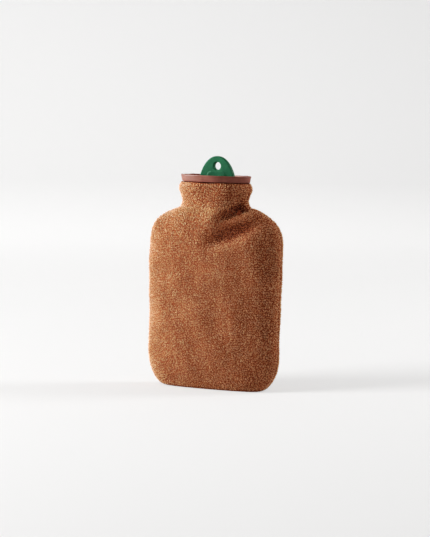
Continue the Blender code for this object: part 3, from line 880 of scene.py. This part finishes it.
class Nodes:
    """A material's nodes, made and joined in short lines."""

    def __init__(self, name):
        self.material = bpy.data.materials.new(name)
        self.material.use_nodes = True
        self.tree = self.material.node_tree
        self.shader = self.tree.nodes["Principled BSDF"]

    def add(self, kind, **values):
        node = self.tree.nodes.new(kind)
        for key, value in values.items():
            if key in node.inputs:
                node.inputs[key].default_value = value
            else:
                setattr(node, key, value)
        return node

    def join(self, start, end):
        self.tree.links.new(start, end)

    def set(self, **values):
        """Gives the shader's sockets these values. A name has _ for each space."""
        for key, value in values.items():
            self.shader.inputs[key.replace("_", " ")].default_value = value

    def object_noise(self, scale, detail, stretch=None):
        place = self.add("ShaderNodeTexCoord").outputs["Object"]
        if stretch:
            mapping = self.add("ShaderNodeMapping")
            mapping.inputs["Scale"].default_value = stretch
            self.join(place, mapping.inputs["Vector"])
            place = mapping.outputs["Vector"]
        noise = self.add("ShaderNodeTexNoise", Scale=scale, Detail=detail)
        self.join(place, noise.inputs["Vector"])
        return noise.outputs["Fac"]

    def ramp(self, value, *stops):
        node = self.add("ShaderNodeValToRGB")
        elements = node.color_ramp.elements
        while len(elements) < len(stops):
            elements.new(0.5)
        for element, (place, color) in zip(elements, stops, strict=True):
            element.position = place
            element.color = (*color, 1)
        self.join(value, node.inputs["Fac"])
        return node.outputs["Color"]

    def mix(self, blend, share, first, second):
        node = self.add("ShaderNodeMix", data_type="RGBA", blend_type=blend)
        if isinstance(share, float):
            node.inputs[0].default_value = share
        else:
            self.join(share, node.inputs[0])
        for value, socket in ((first, node.inputs[6]), (second, node.inputs[7])):
            if isinstance(value, tuple):
                socket.default_value = (*value, 1)
            else:
                self.join(value, socket)
        return node.outputs[2]

    def times(self, first, second):
        return self.mix("MULTIPLY", 1.0, first, second)

    def math(self, operation, first, second):
        node = self.add("ShaderNodeMath", operation=operation)
        for value, socket in ((first, node.inputs[0]), (second, node.inputs[1])):
            if isinstance(value, (int, float)):
                socket.default_value = value
            else:
                self.join(value, socket)
        return node.outputs[0]

    def bump(self, height, strength, distance, normal=None):
        node = self.add("ShaderNodeBump")
        node.inputs["Strength"].default_value = strength
        node.inputs["Distance"].default_value = distance
        self.join(height, node.inputs["Height"])
        if normal:
            self.join(normal, node.inputs["Normal"])
        return node.outputs["Normal"]


def gray(value):
    return (value, value, value)


def fleece_material(name, sheen, *tones):
    """Curly pile, with painted shade that makes it dark deep down and light on the curls' tops, and with
    fine fibres all over.
    """
    n = Nodes(name)
    curl = n.add("ShaderNodeAttribute", attribute_name="curl").outputs["Fac"]
    fibres = n.object_noise(scale=1500.0, detail=4.0)
    patches = n.object_noise(scale=28.0, detail=2.0)
    color = n.ramp(curl, *tones)
    color = n.times(color, n.ramp(fibres, (0.3, (0.80, 0.71, 0.64)), (0.7, (1.16, 1.26, 1.34))))
    color = n.times(color, n.ramp(patches, (0.3, (0.95, 0.94, 0.93)), (0.7, (1.05, 1.06, 1.07))))
    brushed = n.object_noise(scale=190.0, detail=2.0, stretch=(1.0, 1.0, 0.32))
    color = n.times(color, n.ramp(brushed, (0.3, (0.90, 0.87, 0.85)), (0.7, (1.09, 1.12, 1.14))))
    n.join(color, n.shader.inputs["Base Color"])
    n.set(Roughness=0.92, Specular_IOR_Level=0.18)
    n.set(Sheen_Weight=sheen, Sheen_Roughness=0.42, Sheen_Tint=(1.0, 0.94, 0.76, 1))
    n.join(n.bump(fibres, strength=0.5, distance=0.0004), n.shader.inputs["Normal"])
    return n.material


def rubber_material(name, dark, light):
    """Moulded rubber with fine lines round it, a dusty bloom, and blotches."""
    n = Nodes(name)
    lines = n.object_noise(scale=60.0, detail=3.0, stretch=(0.6, 0.6, 26.0))
    bloom = n.object_noise(scale=90.0, detail=4.0)
    grain = n.object_noise(scale=900.0, detail=2.0)
    color = n.ramp(bloom, (0.35, dark), (0.68, light))
    color = n.times(color, n.ramp(lines, (0.35, (0.86, 0.84, 0.83)), (0.65, (1.10, 1.12, 1.13))))
    n.join(color, n.shader.inputs["Base Color"])
    n.join(n.ramp(bloom, (0.3, gray(0.44)), (0.75, gray(0.62))), n.shader.inputs["Roughness"])
    normal = n.bump(lines, strength=0.35, distance=0.0003)
    normal = n.bump(grain, strength=0.12, distance=0.0002, normal=normal)
    n.join(normal, n.shader.inputs["Normal"])
    return n.material


def plastic_material(name):
    """Dark green moulded plastic, a little cloudy, with soft flow marks."""
    n = Nodes(name)
    cloud = n.object_noise(scale=70.0, detail=3.0)
    grain = n.object_noise(scale=1200.0, detail=2.0)
    n.join(n.ramp(cloud, *GREEN), n.shader.inputs["Base Color"])
    n.join(n.ramp(cloud, (0.3, gray(0.40)), (0.75, gray(0.50))), n.shader.inputs["Roughness"])
    n.set(Specular_IOR_Level=0.30)
    normal = n.bump(cloud, strength=0.10, distance=0.0006)
    normal = n.bump(grain, strength=0.08, distance=0.00015, normal=normal)
    n.join(normal, n.shader.inputs["Normal"])
    return n.material


def stage_material():
    """Pale paper that glows a little where the camera sees it, and is duller there to make up for it."""
    n = Nodes("pale_ground")
    seen = n.add("ShaderNodeLightPath").outputs["Is Camera Ray"]
    tone = n.ramp(n.object_noise(scale=1.2, detail=2.0), *STAGE_TONES)
    n.join(n.mix("MIX", seen, tone, STAGE_TONE_SEEN), n.shader.inputs["Base Color"])
    n.set(Roughness=0.9, Specular_IOR_Level=0.1, Emission_Color=(*WHITE, 1))
    place = n.add("ShaderNodeTexCoord").outputs["Object"]
    slope = n.add("ShaderNodeVectorMath", operation="DOT_PRODUCT")
    slope.inputs[1].default_value = STAGE_GLOW_SLOPE
    n.join(place, slope.inputs[0])
    height = n.add("ShaderNodeSeparateXYZ")
    n.join(place, height.inputs[0])
    wall_glow_drop = n.math("MINIMUM", n.math("MULTIPLY", height.outputs["Z"], WALL_GLOW_DROPS_BY), WALL_GLOW_DROPS_TO)
    glow = n.math("ADD", slope.outputs["Value"], STAGE_GLOW)
    glow = n.math("SUBTRACT", glow, wall_glow_drop)
    n.join(n.math("MULTIPLY", seen, glow), n.shader.inputs["Emission Strength"])
    return n.material


def make_stage(where):
    """A flat round floor that turns up smoothly into a round wall."""
    profile = [(r, 0.0) for r in FLOOR_RINGS]
    for a in np.linspace(0, math.pi / 2, BEND_POINTS):
        profile.append((FLOOR_R + BEND_R * math.sin(a), BEND_R - BEND_R * math.cos(a)))
    profile.append((FLOOR_R + BEND_R, WALL_TOP))
    mesh = bpy.data.meshes.new("ground")
    mesh.from_pydata([(r, 0, z) for r, z in profile], [(k, k + 1) for k in range(len(profile) - 1)], [])
    ground = add("ground", mesh, where)
    turned = ground.modifiers.new("turned", "SCREW")
    turned.steps = STAGE_AROUND
    turned.render_steps = STAGE_AROUND
    turned.use_merge_vertices = True
    turned.merge_threshold = STAGE_WELD
    turned.use_normal_flip = True
    ground = mesh_of(ground, where)
    shade_smooth(ground)
    return ground


def area_light(name, light, where):
    data = bpy.data.lights.new(name, "AREA")
    data.shape = "RECTANGLE"
    data.size, data.size_y = light.size
    data.energy = light.power
    data.color = light.color
    lamp = add(name, data, where)
    lamp.location = light.place
    lamp.rotation_mode = "QUATERNION"
    lamp.rotation_quaternion = (Vector(LIGHTS_AIM) - Vector(light.place)).to_track_quat("-Z", "Y")
    return lamp


def link_light(lamp, receiver, state):
    """The lamp lights this object alone (INCLUDE), or all but this object (EXCLUDE)."""
    linked = bpy.data.collections.new(lamp.name + "_falls_on")
    linked.objects.link(receiver)
    linked.collection_objects[0].light_linking.link_state = state
    lamp.light_linking.receiver_collection = linked


def make_lights(ground, where):
    """A broad key from the left, a weak light from behind, a dim room, and a soft light for the ground."""
    world = bpy.data.worlds.new("studio")
    world.use_nodes = True
    background = world.node_tree.nodes["Background"]
    background.inputs["Color"].default_value = ROOM_COLOR
    background.inputs["Strength"].default_value = ROOM_LIGHT
    bpy.context.scene.world = world
    link_light(area_light("key", KEY, where), ground, "EXCLUDE")
    area_light("back", BACK, where)
    link_light(area_light("shade", SHADE, where), ground, "INCLUDE")


def set_tones():
    """The plain view transform under a camera's tone curve, with deeper darks."""
    view = bpy.context.scene.view_settings
    view.view_transform = "Standard"
    view.use_curve_mapping = True
    curve = view.curve_mapping.curves[ALL_COLORS]
    for x, y in TONE_CURVE:
        curve.points.new(x, y)
    view.curve_mapping.update()


def make_camera(where):
    """The camera, turned round the bottle, and pitched down and rolled a little."""
    data = bpy.data.cameras.new("camera")
    data.sensor_width = CAMERA_SENSOR
    data.lens = CAMERA_LENS
    camera = add("camera", data, where)
    right = Vector((math.cos(CAMERA_TURN), math.sin(CAMERA_TURN), 0))
    level = Vector((-math.sin(CAMERA_TURN), math.cos(CAMERA_TURN), 0))
    ahead = level * math.cos(CAMERA_PITCH) - Vector((0, 0, 1)) * math.sin(CAMERA_PITCH)
    up = right.cross(ahead)
    tilted = right * math.cos(CAMERA_ROLL) + up * math.sin(CAMERA_ROLL)
    upright = up * math.cos(CAMERA_ROLL) - right * math.sin(CAMERA_ROLL)
    turn = Matrix((tilted, upright, -ahead)).transposed()
    place = -level * CAMERA_AWAY + Vector((0, 0, CAMERA_HEIGHT))
    camera.matrix_world = Matrix.Translation(place) @ turn.to_4x4()
    bpy.context.scene.camera = camera


def main():
    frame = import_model()
    parts = collection("hot_water_bottle")
    studio = collection("studio")
    set_tones()
    make_camera(studio)
    ground = make_stage(studio)
    finish_with(ground, stage_material())
    make_lights(ground, studio)

    pile = fleece_material("fleece_pile", PILE_SHEEN, *PILE_TONES)
    backing = fleece_material("fleece_backing", BACKING_SHEEN, *BACKING_TONES)
    for side, end, node, seed in ((-1, "front", "cover_front", 11), (1, "back", "cover_back", 23)):
        grid = panel_outside(side, seed + 1)
        cloth = make_backing("fleece_" + end, side, grid, parts)
        curls = make_curls("curls_" + end, side, grid, seed, parts)
        for piece, finish in ((cloth, backing), (curls, pile)):
            finish_with(piece, finish)
            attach(piece, "covered_bottle")
            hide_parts(node)

    bottle = make_bottle(parts)
    finish_with(bottle, rubber_material("brown_rubber", *BOTTLE_RUBBER))
    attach(bottle, "covered_bottle")
    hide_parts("bottle")
    stopper = make_stopper(parts)
    finish_with(stopper, plastic_material("green_plastic"))
    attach(stopper, "stopper")
    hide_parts("stopper")
    finish_with(frame["nodes"]["socket"], plastic_material("socket_plastic"))
    finish_with(frame["nodes"]["washer"], rubber_material("washer_rubber", *WASHER_RUBBER))


main()
